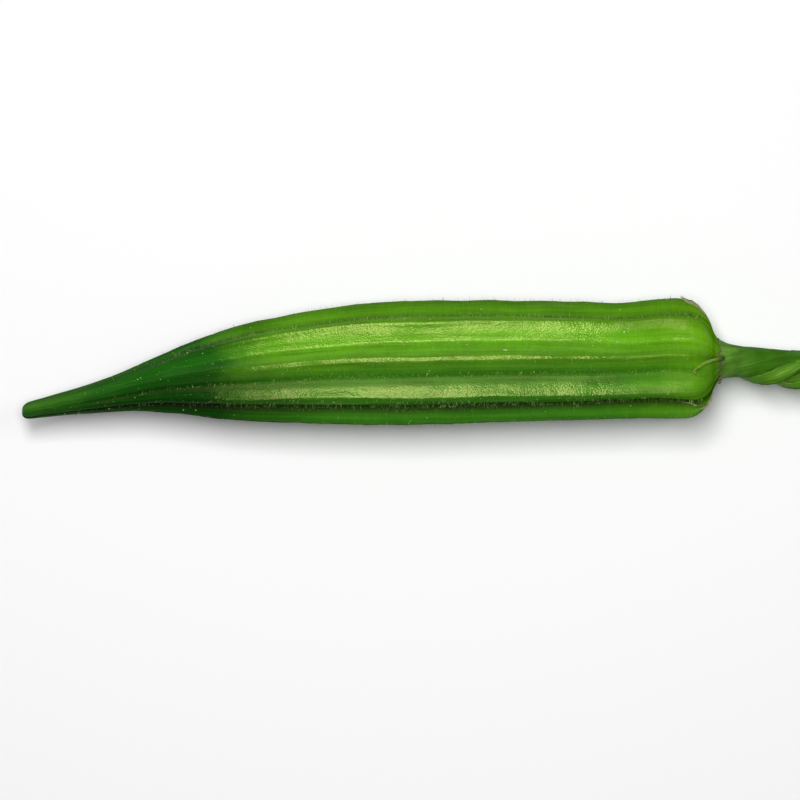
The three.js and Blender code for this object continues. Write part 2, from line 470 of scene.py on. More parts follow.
def bumps(tree, shader, *layers):
    """Chains bump layers, each a pattern and its depth in metres."""
    normal = None
    for height, depth in layers:
        inputs = {"Height": height, "Strength": 1.0, "Distance": depth}
        if normal:
            inputs["Normal"] = normal
        normal = add(tree, "ShaderNodeBump", inputs).outputs[0]
    link(tree, normal, shader, "Normal")


def skin_material(settings):
    """Waxy skin: greens that change along the pod, painted light and shade round it, lengthwise streaks and a
    fine grain.
    """
    material, tree, shader = new_material("okra_skin")
    flow = attribute(tree, "flow", "Vector")
    flank = attribute(tree, "flank")
    painted_groove_shade = attribute(tree, "painted_groove_shade")

    # The share of the way from the tip to the seat, with a small wander that keeps borders uneven.
    station = add(tree, "ShaderNodeSeparateXYZ", {0: flow}).outputs[0]
    share = calculate(tree, "DIVIDE", station, POD_LENGTH)
    wander = calculate(tree, "MULTIPLY_ADD", grain(tree, flow, 0.13), 0.1, -0.05)
    share = calculate(tree, "ADD", share, wander)
    # The lit and the shaded greens are painted light and shade, mixed round the pod by the painted shade
    # mark. Both grow darker towards the tip, partly the skin's own deeper green and partly painted shade, and
    # the shaded side turns to the lit green at the shoulder.
    sunny = ramp(
        tree, share, (0.0, settings.tip_green), (0.11, settings.deep_green), (0.26, settings.deep_green),
        (0.37, settings.lit_green), (0.85, settings.lit_green), (0.97, settings.shoulder_green),
    )
    shady = ramp(
        tree, share, (0.0, settings.deep_green), (0.1, settings.dark_green), (0.27, settings.dark_green),
        (0.46, settings.shady_green), (0.85, settings.shady_green), (0.97, settings.lit_green),
    )
    shade = add(
        tree, "ShaderNodeMath", {0: attribute(tree, "shade"), 1: wander}, operation="ADD", use_clamp=True
    )
    colour = blend_colours(tree, shade.outputs[0], sunny, shady)

    # The crests are deeper in colour than the grooves: partly the ridges' own darker green, partly painted
    # shade around the crests' highlight. The grooves are painted lighter against the shade that falls in
    # them, and the far side and the shaded grooves are darkened with painted shade.
    colour = shaded(tree, colour, attribute(tree, "groove"), (0.0, 0.66), (0.4, 0.98), (1.0, 1.12))
    colour = shaded(tree, colour, attribute(tree, "painted_side_shade"), (0.0, 1.0), (1.0, 0.7))
    colour = shaded(tree, colour, painted_groove_shade, (0.0, 1.0), (0.5, 0.6), (1.0, 0.2))
    streaks = grain(tree, flow, 1.0, (0.07, 2.2, 2.2), 3.0)
    blotches = grain(tree, flow, 0.24, (0.5, 1, 1), 3.0)
    bands = grain(tree, flow, 1.0, (2.6, 0.5, 0.5))
    colour = shaded(tree, colour, streaks, (0.3, 0.8), (0.5, 1.0), (0.7, 1.1))
    colour = shaded(tree, colour, blotches, (0.3, 0.86), (0.6, 1.04))
    colour = shaded(tree, colour, bands, (0.35, 0.93), (0.65, 1.04))
    link(tree, colour, shader, "Base Color")

    # The wax is rougher on steep flanks, on the shoulder, in shaded grooves and from cell to cell.
    cells = grain(tree, flow, 4.0, (0.8, 1, 1))
    rough = calculate(tree, "MULTIPLY_ADD", flank, 0.8, 0.13)
    rough = calculate(tree, "ADD", rough, ramp(tree, share, (0.83, 0.0), (0.88, 0.14)))
    rough = calculate(tree, "ADD", rough, ramp(tree, painted_groove_shade, (0.2, 0.0), (0.4, 0.3)))
    cell_share = ramp(tree, share, (0.2, 0.05), (0.4, 0.17), (0.72, 0.17), (0.8, 0.03))
    link(tree, calculate(tree, "MULTIPLY_ADD", cells, cell_share, rough), shader, "Roughness")

    # The gloss fades on steep flanks, near the tip and on parts of the shoulder.
    gloss = calculate(tree, "MULTIPLY_ADD", flank, -0.5, 0.5)
    dull = ramp(tree, share, (0.2, 0.4), (0.32, 1.0), (0.83, 1.0), (0.88, 0.35), (0.95, 0.7), (0.98, 0.1))
    link(tree, calculate(tree, "MULTIPLY", gloss, dull), shader, "Specular IOR Level")
    shader.inputs["IOR"].default_value = 1.4
    shader.inputs["Specular Tint"].default_value = opaque(settings.gloss_tint)
    bumps(
        tree, shader,
        (grain(tree, flow, 1.0, (0.12, 2.2, 2.2)), 0.03 * MM),
        (grain(tree, flow, 0.9, (0.6, 1, 1), 3.0), 0.05 * MM),
        (cells, settings.grain_depth),
    )
    return material


def hair_material(name, colour):
    """One pale colour that is darker in places."""
    material, tree, shader = new_material(name)
    tone = grain(tree, millimetres(tree), 0.6, detail=0.0)
    link(tree, shaded(tree, colour, tone, (0.35, 0.5), (0.65, 1.0)), shader, "Base Color")
    shader.inputs["Roughness"].default_value = 0.45
    return material


def bark_material(settings):
    """Bark that is green outside and paler where it is bare, with dark torn edges and a pale cut end."""
    material, tree, shader = new_material("okra_bark")
    flow = attribute(tree, "flow", "Vector")
    run = add(tree, "ShaderNodeSeparateXYZ", {0: flow}).outputs[0]
    fibres = grain(tree, flow, 1.0, (0.13, 2.5, 2.5), 2.5)
    patches = grain(tree, flow, 0.4, detail=3.0)
    root = ramp(tree, calculate(tree, "DIVIDE", run, STALK_LENGTH), (0.06, 1.0), (0.24, 0.0))
    root = calculate(tree, "MULTIPLY", root, ramp(tree, patches, (0.3, 0.4), (0.6, 1.0)))
    outside = blend_colours(tree, root, settings.bark_green, settings.root_green)
    outside = shaded(tree, outside, fibres, (0.3, 0.74), (0.55, 1.0), (0.72, 1.3))
    outside = shaded(tree, outside, patches, (0.3, 0.8), (0.6, 1.05))
    streaks = ramp(tree, fibres, (0.56, 0.0), (0.72, 1.0))
    inside = blend_colours(tree, streaks, settings.inner_green, settings.fibre_pale)
    inside = shaded(tree, inside, fibres, (0.28, 0.55), (0.5, 1.0))
    colour = blend_colours(tree, attribute(tree, "bare"), outside, inside)
    # Dark torn edges: dried bark, and on the strips painted shade of the gaps between them.
    torn = calculate(tree, "MULTIPLY", attribute(tree, "torn"), ramp(tree, patches, (0.4, 0.0), (0.6, 0.9)))
    colour = blend_colours(tree, torn, colour, settings.dried_edge_and_shade)
    pith = attribute(tree, "pith")
    flesh = ramp(tree, pith, (0.0, settings.inner_green), (0.3, settings.fibre_pale), (1.0, settings.pith))
    flesh = shaded(tree, flesh, grain(tree, millimetres(tree), 3.0, detail=3.0), (0.3, 0.7), (0.6, 1.05))
    cut = ramp(tree, pith, (0.03, 0.0), (0.1, 1.0))
    link(tree, blend_colours(tree, cut, colour, flesh), shader, "Base Color")
    link(tree, calculate(tree, "MULTIPLY_ADD", fibres, 0.3, 0.4), shader, "Roughness")
    shader.inputs["Specular IOR Level"].default_value = 0.06
    bumps(
        tree, shader,
        (grain(tree, flow, 1.0, (0.3, 5.0, 5.0)), 0.09 * MM),
        (grain(tree, flow, 2.6), 0.06 * MM),
    )
    return material


def dry_material(settings):
    """Dry plant tissue, mottled between a pale and a dark colour."""
    material, tree, shader = new_material("okra_dry_calyx")
    place = millimetres(tree)
    mottle = ramp(tree, grain(tree, place, 0.9, detail=4.0, rough=0.65), (0.3, 0.2), (0.55, 1.0))
    mottle = calculate(tree, "MULTIPLY", mottle, attribute(tree, "pale"))
    link(tree, blend_colours(tree, mottle, settings.dry_brown, settings.dry_tan), shader, "Base Color")
    shader.inputs["Roughness"].default_value = 0.8
    bumps(tree, shader, (grain(tree, place, 3.5, detail=3.0), 0.08 * MM))
    return material


def bract_material(settings):
    """A wilted green that is dark at the root."""
    material, tree, shader = new_material("okra_bract")
    place = millimetres(tree)
    colour = blend_colours(tree, attribute(tree, "root"), settings.bract_green, settings.bract_dark)
    colour = shaded(tree, colour, grain(tree, place, 1.6, detail=3.0), (0.3, 0.72), (0.6, 1.1))
    link(tree, colour, shader, "Base Color")
    shader.inputs["Roughness"].default_value = 0.42
    bumps(tree, shader, (grain(tree, place, 4.0), 0.06 * MM))
    return material


# The pod's skin

ROUND_STEPS = 198
RINGS = 400
# How far a rib reaches to each side of its ridge, how uneven that is, and how much less it is near the stalk.
RIB_REACH = 0.78
RIB_UNEVEN = 0.7
RIB_LOSS = 0.45
RIB_LOSS_SPAN = (88, 100)
# How far the shoulder's top stays below the bulge that its sides have, in millimetres, and where it sinks.
SHOULDER_FLAT = 0.5
SHOULDER_SPAN = (104, 120)
# The relief rises over these lengths from the tip and from a bare strip at the seat.
TIP_FADE = 25
SEAT_FADE = 6
SEAT_BARE = 1.5
# How the skin swells and sinks, in layers: the share of the lump height, how fine the layer is round the pod
# and along it, and two shifts that keep the layers apart.
SWELLS = ((0.4, 4.6, 0.045, 0, 0), (0.7, 2.9, 0.2, 5, 0), (0.16, 9.0, 0.75, 0, 7))
# How much closer the points round the pod lie at the ridges than on the whole.
CREST_CROWDING = 0.55
# The middle of the side that the skin's colour paints as lit, as an angle from the top towards +Y.
PAINTED_LIGHT_SIDE = math.radians(40)
# Where each painted shade on the skin starts and where it is full. Shade is read off the cosine of the angle
# from the side painted as lit, and the far side off the cosine of the angle from the top.
SHADE_SPAN = (0.88, 0.5)
GROOVE_SHADE_SPAN = (0.95, 0.0)
GROOVE_SPAN = (0.3, 1.0)
FAR_GROOVE_SHADE_SPAN = (0.7, 0.5)
FAR_GROOVE_SPAN = (0.6, 1.0)
FAR_GROOVE_STRENGTH = 0.65
FAR_SIDE_SPAN = (0.72, 0.45)
# The far side's painted shade starts from these shares of the pod's length on, and a flank from this upward
# tilt down.
FAR_SIDE_START = (0.2, 0.36)
FLANK_SPAN = (0.74, 0.3)


def skin_relief(station, turn, angle, settings):
    """How far the fine skin stands out from the plain form, in millimetres."""
    radius = value_at(RADIUS_VALUES, station)
    from_crest = (turn - round(turn)) * math.tau * radius / len(RIDGES)
    fade = min(1.0, station / TIP_FADE)
    fade *= min(1.0, max(0.0, (POD_LENGTH - SEAT_BARE - station) / SEAT_FADE))
    round_way = Vector((0, math.cos(angle), math.sin(angle)))
    fill = radius * value_at(GROOVE_VALUES, station) * groove_share(turn)
    reach = RIB_REACH * (1 + RIB_UNEVEN * noise.noise(Vector((station * 0.06, round(turn), 3))))
    reach *= 1 - RIB_LOSS * smooth_step(*RIB_LOSS_SPAN, station)
    rib = (settings.rib_height + fill * MM) * math.exp(-((from_crest / reach) ** 4))
    flat_top = SHOULDER_FLAT * smooth_step(*SHOULDER_SPAN, station) * max(0.0, math.cos(angle)) ** 2
    swell = sum(
        share * noise.noise(round_way * fineness + Vector((station * along, shift, other_shift)))
        for share, fineness, along, shift, other_shift in SWELLS
    )
    return fade * ((rib + settings.lump_height * swell) / MM - flat_top)


def fine_skin(station, radius, turn, settings):
    """A point of the fine skin. None of it lies below the floor."""
    angle = ridge_angle(turn)
    share = min(1.0, radius / max(value_at(RADIUS_VALUES, station), 1e-6))
    point = skin_point(station, radius, turn, skin_relief(station, turn, angle, settings) * share)
    point.z = max(point.z, -ORIGIN.z)
    return point


def even_profile(rings):
    """The outline as points at even distances along it."""
    reach = [0.0]
    for start, end in zip(OUTLINE_LINE, OUTLINE_LINE[1:]):
        reach.append(reach[-1] + math.dist(start, end))
    stations = [(way, station) for way, (station, _) in zip(reach, OUTLINE_LINE)]
    radii = [(way, radius) for way, (_, radius) in zip(reach, OUTLINE_LINE)]
    ways = [reach[-1] * step / rings for step in range(rings + 1)]
    return [(read_off(stations, way), read_off(radii, way)) for way in ways]


def skin_marks(station, turn, angle, is_far):
    """How strong each mark of the skin's colour is at a place, from 0 to 1: the groove share and three
    painted shades.
    """
    groove = groove_share(turn)
    sunny = math.cos(angle - PAINTED_LIGHT_SIDE)
    upward = math.cos(angle)
    far_groove = smooth_step(*FAR_GROOVE_SHADE_SPAN, upward) if is_far else 0.0
    painted_side_shade = smooth_step(*FAR_SIDE_SPAN, upward) if is_far else 0.0
    return {
        "groove": groove,
        "shade": smooth_step(*SHADE_SPAN, sunny),
        # Painted shade in the grooves of the shaded side, and in those of the side turned away.
        "painted_groove_shade": max(
            smooth_step(*GROOVE_SPAN, groove) * smooth_step(*GROOVE_SHADE_SPAN, sunny),
            FAR_GROOVE_STRENGTH * smooth_step(*FAR_GROOVE_SPAN, groove) * far_groove,
        ),
        "painted_side_shade": painted_side_shade * smooth_step(*FAR_SIDE_START, station / POD_LENGTH),
    }


class OKRA_OT_skin(bpy.types.Operator):
    """Spins the pod's outline, then moves its points out to the ridges and into the grooves"""

    bl_idname = "okra.skin"
    bl_label = "Pod Skin"

    def execute(self, context):
        settings = context.scene.okra_skin
        bm = bmesh.new()
        outline = [bm.verts.new((station, 0, radius)) for station, radius in even_profile(RINGS)]
        outline.append(bm.verts.new((POD_LENGTH, 0, 0)))
        edges = [bm.edges.new(pair) for pair in zip(outline, outline[1:])]
        bmesh.ops.spin(
            bm, geom=outline + edges, cent=(0, 0, 0), axis=(1, 0, 0), angle=math.tau, steps=ROUND_STEPS,
            use_merge=True,
        )
        bmesh.ops.remove_doubles(bm, verts=bm.verts, dist=MERGE_DISTANCE)
        flow = bm.verts.layers.float_vector.new("flow")
        names = ("groove", "shade", "painted_groove_shade", "painted_side_shade", "flank")
        layers = {name: bm.verts.layers.float.new(name) for name in names}
        for vert in bm.verts:
            station, side, up = vert.co
            turn = (math.atan2(side, up) / math.tau % 1.0) * len(RIDGES)
            turn -= CREST_CROWDING * math.sin(math.tau * turn) / math.tau
            angle = ridge_angle(turn)
            vert[flow] = Vector((station, POD_RADIUS * math.cos(angle), POD_RADIUS * math.sin(angle)))
            for name, mark in skin_marks(station, turn, angle, side > 0).items():
                vert[layers[name]] = mark
            vert.co = fine_skin(station, math.hypot(side, up), turn, settings)
        for face in bm.faces:
            face.smooth = True
        bmesh.ops.recalc_face_normals(bm, faces=bm.faces)
        bm.normal_update()
        for vert in bm.verts:
            vert[layers["flank"]] = smooth_step(*FLANK_SPAN, vert.normal.z)
            # The far side's painted shade fades where the skin faces along the pod.
            vert[layers["painted_side_shade"]] *= (1 - abs(vert.normal.x)) ** 2
        finish_piece(bm, "pod_skin", [skin_material(settings)], ["pod"])
        return {"FINISHED"}


# Hairs and flecks on the skin

HAIR_SEED = 11
FLECK_SEED = 23
FLECKS = 170
# How the hairs are shared out: the share of them, then the least and most distance from a crest in turns.
HAIR_BANDS = ((0.24, 0.0, 0.1), (0.6, 0.36, 0.5), (0.16, 0.0, 0.5))
HAIR_STATIONS = (5, POD_LENGTH - 3)
# How steeply the hairs grow fewer where the pod is slimmer, and the share of its length that a hair keeps
# where the pod has all but run out.
HAIR_THINNING = 1.6
SLIM_HAIR = 0.3
# How much a hair leans along the pod and round it, as the middle and the spread of a share of its height.
LEAN_ALONG = (-0.15, 0.3)
LEAN_ROUND = (0, 0.35)
HAIR_LENGTHS = (0.4, 1.0)
HAIR_ROOTS = (0.6, 1.05)
HAIR_BENDS = (0.05, 0.3, 0.6)
# A hair's root radius as a share of its length, which turns a bend into root radii.
HAIR_SLIMNESS = 0.06
# A hair's radius at its end as a share of that at its root, and how deep its root is sunk in millimetres.
HAIR_END = 0.35
HAIR_SUNK = 0.03
FLECK_STATIONS = (8, 126)
FLECK_SIZES = (0.09, 0.2)
FLECK_STRETCH = (1, 1.6)
FLECK_HEIGHT = 0.06
# Flecks stay this far above the floor, in millimetres.
FLECK_CLEAR = 1
# Nicks in the skin: station, turn, length, width.
NICKS = (
    (89.9, 0.2, 0.95, 0.32), (110.7, 0.52, 0.8, 0.35), (111.9, 0.75, 0.3, 0.25), (112.6, 0.82, 0.25, 0.2),
)
# How far off, in millimetres and in turns, the next points lie that give the skin's directions at a place.
STEP_ALONG = 0.2
STEP_ROUND = 0.02


def skin_frame(station, turn, settings):
    """A point of the fine skin, with the ways out of it, along it and round it."""
    def point(at, round_at):
        return fine_skin(at, value_at(RADIUS_VALUES, at), round_at % len(RIDGES), settings)

    here = point(station, turn)
    along = (point(station + STEP_ALONG, turn) - here).normalized()
    across = (point(station, turn + STEP_ROUND) - here).normalized()
    out = across.cross(along).normalized()
    if out.dot(here - axis_at(station)) < 0:
        out.negate()
    return here, out, along, across


def hair_template(bend):
    """A thin tapered hair of unit length and unit root radius that leans over by the given share."""
    bm = bmesh.new()
    root = Matrix.Translation((0, 0, 0.5))
    bmesh.ops.create_cone(bm, segments=3, radius1=1, radius2=HAIR_END, depth=1, matrix=root)
    sides = [edge for edge in bm.edges if abs(edge.verts[0].co.z - edge.verts[1].co.z) > 0.5]
    bmesh.ops.subdivide_edges(bm, edges=sides, cuts=1)
    for vert in bm.verts:
        vert.co.x += bend * vert.co.z**2 / HAIR_SLIMNESS
    for face in bm.faces:
        face.smooth = True
    mesh = bpy.data.meshes.new("hair_template")
    bm.to_mesh(mesh)
    bm.free()
    return mesh


def stamp(bm, template, matrix):
    """Adds a copy of a mesh, moved by a matrix."""
    copy = template.copy()
    copy.transform(matrix)
    bm.from_mesh(copy)
    bpy.data.meshes.remove(copy)


class OKRA_OT_hairs(bpy.types.Operator):
    """Sets short fine hairs on the skin, most of them along the ridges and in the grooves"""

    bl_idname = "okra.hairs"
    bl_label = "Pod Hairs"

    def execute(self, context):
        settings = context.scene.okra_hairs
        skin = context.scene.okra_skin
        draw = random.Random(HAIR_SEED)
        templates = [hair_template(bend) for bend in HAIR_BENDS]
        bm = bmesh.new()
        for share, near, far in HAIR_BANDS:
            for _ in range(int(settings.count * share)):
                station = draw.uniform(*HAIR_STATIONS)
                slim = value_at(RADIUS_VALUES, station) / POD_RADIUS
                if draw.random() > slim**HAIR_THINNING:
                    continue
                turn = draw.randrange(len(RIDGES)) + draw.choice((-1, 1)) * draw.uniform(near, far)
                here, out, along, across = skin_frame(station, turn, skin)
                lean = out + along * draw.gauss(*LEAN_ALONG) + across * draw.gauss(*LEAN_ROUND)
                length = settings.length / MM * draw.uniform(*HAIR_LENGTHS)
                length *= SLIM_HAIR + (1 - SLIM_HAIR) * slim
                root = settings.thickness / MM / 2 * draw.uniform(*HAIR_ROOTS)
                if here.z + lean.normalized().z * length < -ORIGIN.z:
                    continue
                place = Matrix.Translation(here - out * HAIR_SUNK)
                turned = lean.to_track_quat("Z", "Y").to_matrix().to_4x4()
                spun = Matrix.Rotation(draw.uniform(0, math.tau), 4, "Z")
                size = Matrix.Diagonal((root, root, length, 1))
                stamp(bm, draw.choice(templates), place @ turned @ spun @ size)
        for vert in bm.verts:
            vert.co.z = max(vert.co.z, -ORIGIN.z)
        for template in templates:
            bpy.data.meshes.remove(template)
        finish_piece(bm, "pod_hairs", [hair_material("okra_hair", settings.colour)])
        self.make_flecks(settings, skin)
        return {"FINISHED"}

    def make_flecks(self, settings, skin):
        """Small pale flecks all over the skin, and a few nicks in it."""
        draw = random.Random(FLECK_SEED)
        marks = list(NICKS)
        for _ in range(FLECKS):
            size = draw.uniform(*FLECK_SIZES)
            station = draw.uniform(*FLECK_STATIONS)
            turn = draw.uniform(0, len(RIDGES))
            marks.append((station, turn, size * draw.uniform(*FLECK_STRETCH), size))
        bm = bmesh.new()
        for station, turn, length, width in marks:
            here, out, along, across = skin_frame(station, turn, skin)
            if here.z < FLECK_CLEAR - ORIGIN.z:
                continue
            axes = Matrix((along, out.cross(along), out)).transposed().to_4x4()
            spun = Matrix.Rotation(draw.uniform(-0.5, 0.5), 4, "Z")
            size = Matrix.Diagonal((length / 2, width / 2, FLECK_HEIGHT, 1))
            matrix = Matrix.Translation(here) @ axes @ spun @ size
            verts = bmesh.ops.create_icosphere(bm, subdivisions=2, radius=1, matrix=matrix)["verts"]
            for face in faces_of(verts):
                face.smooth = True
        finish_piece(bm, "skin_flecks", [hair_material("okra_fleck", settings.fleck_colour)])


# The stalk

CORE_STEPS = 190
CORE_ROUND = 132
# The core starts inside the pod. This share of its steps lies along it, and the rest close its cut end.
CORE_START = -1.2
CAP_SHARE = 0.95
# Over what length the flare dies away, in millimetres.
FLARE_REACH = 1.7
# The strands of the bare wood, which is wound up like a rope: their number, their turn in radians a
# millimetre, how much they waver, and the depth of the creases between them.
STRANDS = 5
TWIST = 0.115
STRAND_WAVER = 0.6
CREASE_DEPTH = 0.42
# How much lower the bare wood is than the bark, and over what way past the torn edge it sinks to that.
TEAR_DEPTH = 0.32
TEAR_SLOPE = 0.25
# How uneven the stalk is, the number of flutes in its whole bark, and how deep they are.
UNEVEN = 0.06
FLUTES = 7
FLUTE_DEPTH = 0.05
# How the bark curls up near its torn edge: how high, how far from the edge, and its spread squared.
CURL_HEIGHT = 0.1
CURL_FROM_EDGE = 0.25
CURL_SPREAD = 0.06
# How ragged the torn edges are, in degrees: the wide bays and the small teeth.
TEAR_BAYS = 9
TEAR_TEETH = 5
# The bark that is still whole lies between two torn edges: their angles in degrees at each distance along
# the stalk. They meet before it starts and where it ends.
LOW_TEAR = ((3.2, -140), (3.8, -115), (4.6, -92), (7.4, -52), (11.5, -30), (14.4, -8), (17, 60), (20, 150))
HIGH_TEAR = ((3.2, 240), (4.6, 232), (8, 200), (12, 170), (17, 150), (20, 150))

STALK_CURVE_STEPS = 12
STALK_CURVE = smooth_line(STALK_LINE, STALK_CURVE_STEPS)
STALK_SIDE = [(point.x, point.y) for point in STALK_CURVE]
STALK_RISE = [(point.x, point.z) for point in STALK_CURVE]


def stalk_middle(run):
    """The stalk's middle at a distance past the pod's seat."""
    return Vector((POD_LENGTH + run, read_off(STALK_SIDE, run), read_off(STALK_RISE, run)))


def stalk_point(run, angle, reach):
    """A point round the stalk, in the plane that stands square to its middle line."""
    out = round_offset(angle, reach)
    ahead = stalk_middle(run + 0.5) - stalk_middle(run - 0.5)
    out.x = -(out.y * ahead.y + out.z * ahead.z) / ahead.x
    return stalk_middle(run) + out


def past_tear(run, angle):
    """How far a place is past the bark's torn edge, in millimetres. It is less than 0 on whole bark."""
    low, high = read_off(LOW_TEAR, run), read_off(HIGH_TEAR, run)
    off = (math.degrees(angle) - (low + high) / 2 + 180) % 360 - 180
    bays = TEAR_BAYS * noise.noise(Vector((run * 0.9, off / 25, 4)))
    teeth = TEAR_TEETH * noise.noise(Vector((run * 3, off / 8, 9)))
    return math.radians(abs(off) - (high - low) / 2 - (bays + teeth)) * STALK_RADIUS


def stalk_surface(run, angle, settings):
    """The stalk's radius in millimetres, and its past_tear."""
    past = past_tear(run, angle)
    bare = smooth_step(0.0, TEAR_SLOPE, past)
    flare = settings.flare * math.exp(-run / FLARE_REACH)
    twisted = angle - TWIST * run
    waver = STRAND_WAVER * noise.noise(Vector((run * 0.2, 0, 0)))
    strand = abs(math.sin(STRANDS * twisted / 2 + waver))
    uneven = UNEVEN * noise.noise(Vector((run * 0.5, 2 * math.cos(twisted), 2 * math.sin(twisted))))
    flutes = FLUTE_DEPTH * math.cos(FLUTES * twisted) * (1 - bare)
    curled = CURL_HEIGHT * math.exp(-((past + CURL_FROM_EDGE) ** 2) / CURL_SPREAD)
    reach = (settings.radius + flare) / MM + uneven + flutes + curled
    return reach - bare * (TEAR_DEPTH + CREASE_DEPTH * (1 - strand) ** 2), past


# Each strip of torn bark: where it starts and ends along the stalk in millimetres, the angle where it starts
# in degrees, its turn in degrees a millimetre, its width, and the lift of its lower and upper edges.
BARK = (
    (3.1, 17.0, -116, 11.0, 2.7, 1.3, 0.2),
    (5.6, 22.0, -150, 11.0, 3.0, 1.3, 0.4),
    (11.5, 25.0, -6, 6.4, 2.4, 0.8, 0.25),
    (13.5, 26.4, -62, 6.0, 2.8, 0.5, 0.7),
    (12.0, 25.6, 120, 6.0, 3.2, 0.8, 0.4),
    (6.5, 21.0, 168, 6.2, 3.0, 0.5, 0.6),
)
STRIP_STEPS = 80
STRIP_ACROSS = 12
# A strip's width at its ends as a share of that in its middle, and how uneven its edges are.
STRIP_END_WIDTH = 0.22
STRIP_RAGGED = 0.2
# How deep a strip's ends are sunk, how far its middle stands off and how much it ripples, in millimetres.
STRIP_SUNK = 0.12
STRIP_STAND = 0.15
STRIP_RIPPLE = 0.1
# How sharply a strip curls up towards its edges: 1 would be a straight rise.
STRIP_CURL = 1.3
FIBRES = 70
FIBRE_SEED = 5
FIBRE_STEPS = 12
FIBRE_SIDES = 5
# Where the fibres start along the stalk, their length and their root radius, in millimetres, and the turn of
# each as a share of the wood's. A fibre starts this many degrees past the low torn edge.
FIBRE_STARTS = (5, 21)
FIBRE_LENGTHS = (2.5, 7)
FIBRE_RADII = (0.05, 0.11)
FIBRE_TURNS = (0.6, 1.3)
FIBRE_PAST_TEAR = (5, 150)
# The root of how far a fibre's end lifts off.
FIBRE_LIFTS = (0.15, 1.1)


def strip_point(strip, along, across, settings):
    """A point of a strip of bark, from its shares along and across."""
    start, end, angle, turn, width, low_lift, high_lift = strip
    run = start + (end - start) * along
    swell = math.sin(math.pi * min(1.0, max(0.0, along))) ** 0.6
    ragged = 1 + STRIP_RAGGED * noise.noise(Vector((run * 0.8, angle, 0)))
    half = width / 2 * (STRIP_END_WIDTH + (1 - STRIP_END_WIDTH) * swell) * ragged
    base = settings.radius / MM
    around = math.radians(angle + turn * (run - start)) + (2 * across - 1) * half / base
    lift = low_lift * (1 - across) ** STRIP_CURL + high_lift * across**STRIP_CURL
    ripple = STRIP_RIPPLE * noise.noise(Vector((run * 0.7, 4 * around, angle)))
    return stalk_point(run, around, base - STRIP_SUNK + (lift + STRIP_STAND + ripple) * swell)


class OKRA_OT_stalk(bpy.types.Operator):
    """Makes the twisted stalk with its whole bark, winds torn strips round it and adds loose fibres"""

    bl_idname = "okra.stalk"
    bl_label = "Stalk"

    def execute(self, context):
        settings = context.scene.okra_stalk
        bark = bark_material(settings)
        self.make_core(settings, bark)
        self.make_strips(settings, bark)
        self.make_fibres(settings, bark)
        return {"FINISHED"}

    def new_mesh(self):
        """A mesh with the attributes that the bark's material reads."""
        bm = bmesh.new()
        layers = {name: bm.verts.layers.float.new(name) for name in ("bare", "torn", "pith")}
        layers["flow"] = bm.verts.layers.float_vector.new("flow")
        return bm, layers

    def make_core(self, settings, bark):
        """The stalk itself, with whole bark near the pod and bare wood past the tear."""
        bm, layers = self.new_mesh()

        def place(vert, along, across):
            run = CORE_START + (STALK_LENGTH - CORE_START) * min(1.0, along / CAP_SHARE)
            angle = math.tau * across
            inward = max(0.0, (along - CAP_SHARE) / (1 - CAP_SHARE))
            reach, past = stalk_surface(run, angle, settings)
            twisted = angle - TWIST * run
            vert[layers["flow"]] = Vector((run, 3 * math.cos(twisted), 3 * math.sin(twisted)))
            vert[layers["bare"]] = smooth_step(-0.05, 0.2, past)
            vert[layers["torn"]] = math.exp(-((past / 0.22) ** 2))
            vert[layers["pith"]] = inward
            return stalk_point(run, angle, reach * (1 - inward))

        closed_tube(bm, CORE_STEPS, CORE_ROUND, place)
        finish_piece(bm, "stalk_core", [bark], ["stalk"])

    def make_strips(self, settings, bark):
        bm, layers = self.new_mesh()
        for number, strip in enumerate(BARK):
            self.add_strip(bm, layers, settings, number, strip)
        finish_piece(bm, "bark_strips", [bark])

    def add_strip(self, bm, layers, settings, number, strip):
        """One torn strip, bare in its middle and dark along its edges: dried bark there, with painted shade
        of the gaps between strips.
        """
        start, end, *_, width, _, _ = strip

        def place(vert, along, across):
            from_middle = abs(2 * across - 1)
            wander = 0.35 * noise.noise(Vector((along * 4, across * 2, number * 3)))
            vert[layers["flow"]] = Vector((1.3 * (end - start) * along, width * across, 7 * number))
            vert[layers["bare"]] = min(1.0, max(0.0, 1.15 - 1.1 * from_middle**2 + wander))
            # The edges' dark is dried bark and painted shade of the gaps between the strips.
            vert[layers["torn"]] = smooth_step(0.78, 1.0, from_middle + wander / 4)
            return strip_point(strip, along, across, settings)

        faces = faces_of(laid_grid(bm, STRIP_STEPS, STRIP_ACROSS, place))
        bm.normal_update()
        made = bmesh.ops.solidify(bm, geom=faces, thickness=settings.bark_thickness / MM)["geom"]
        for vert in (item for item in made if isinstance(item, bmesh.types.BMVert)):
            vert[layers["bare"]] = 1.0

    def make_fibres(self, settings, bark):
        draw = random.Random(FIBRE_SEED)
        bm, layers = self.new_mesh()
        base = settings.radius / MM - TEAR_DEPTH
        for _ in range(FIBRES):
            start = draw.uniform(*FIBRE_STARTS)
            length = draw.uniform(*FIBRE_LENGTHS)
            angle = math.radians(read_off(LOW_TEAR, start) - draw.uniform(*FIBRE_PAST_TEAR))
            turn = TWIST * draw.uniform(*FIBRE_TURNS)
            lift = draw.uniform(*FIBRE_LIFTS) ** 2
            thick = draw.uniform(*FIBRE_RADII)
            points = []
            for step in range(FIBRE_STEPS + 1):
                share = step / FIBRE_STEPS
                run = min(start + length * share, STALK_LENGTH - 0.1)
                reach = base + lift * share**1.5 + 0.12 * math.sin(5 * share + angle)
                points.append(stalk_point(run, angle + turn * length * share, reach))
            verts = swept_tube(bm, points, lambda along, _: thick * (1 - 0.6 * along), FIBRE_SIDES)
            for vert in verts:
                vert[layers["flow"]] = vert.co.copy()
                vert[layers["bare"]] = 1.0
                vert[layers["pith"]] = 0.4
        finish_piece(bm, "bark_fibres", [bark])


# The calyx rim and the bract

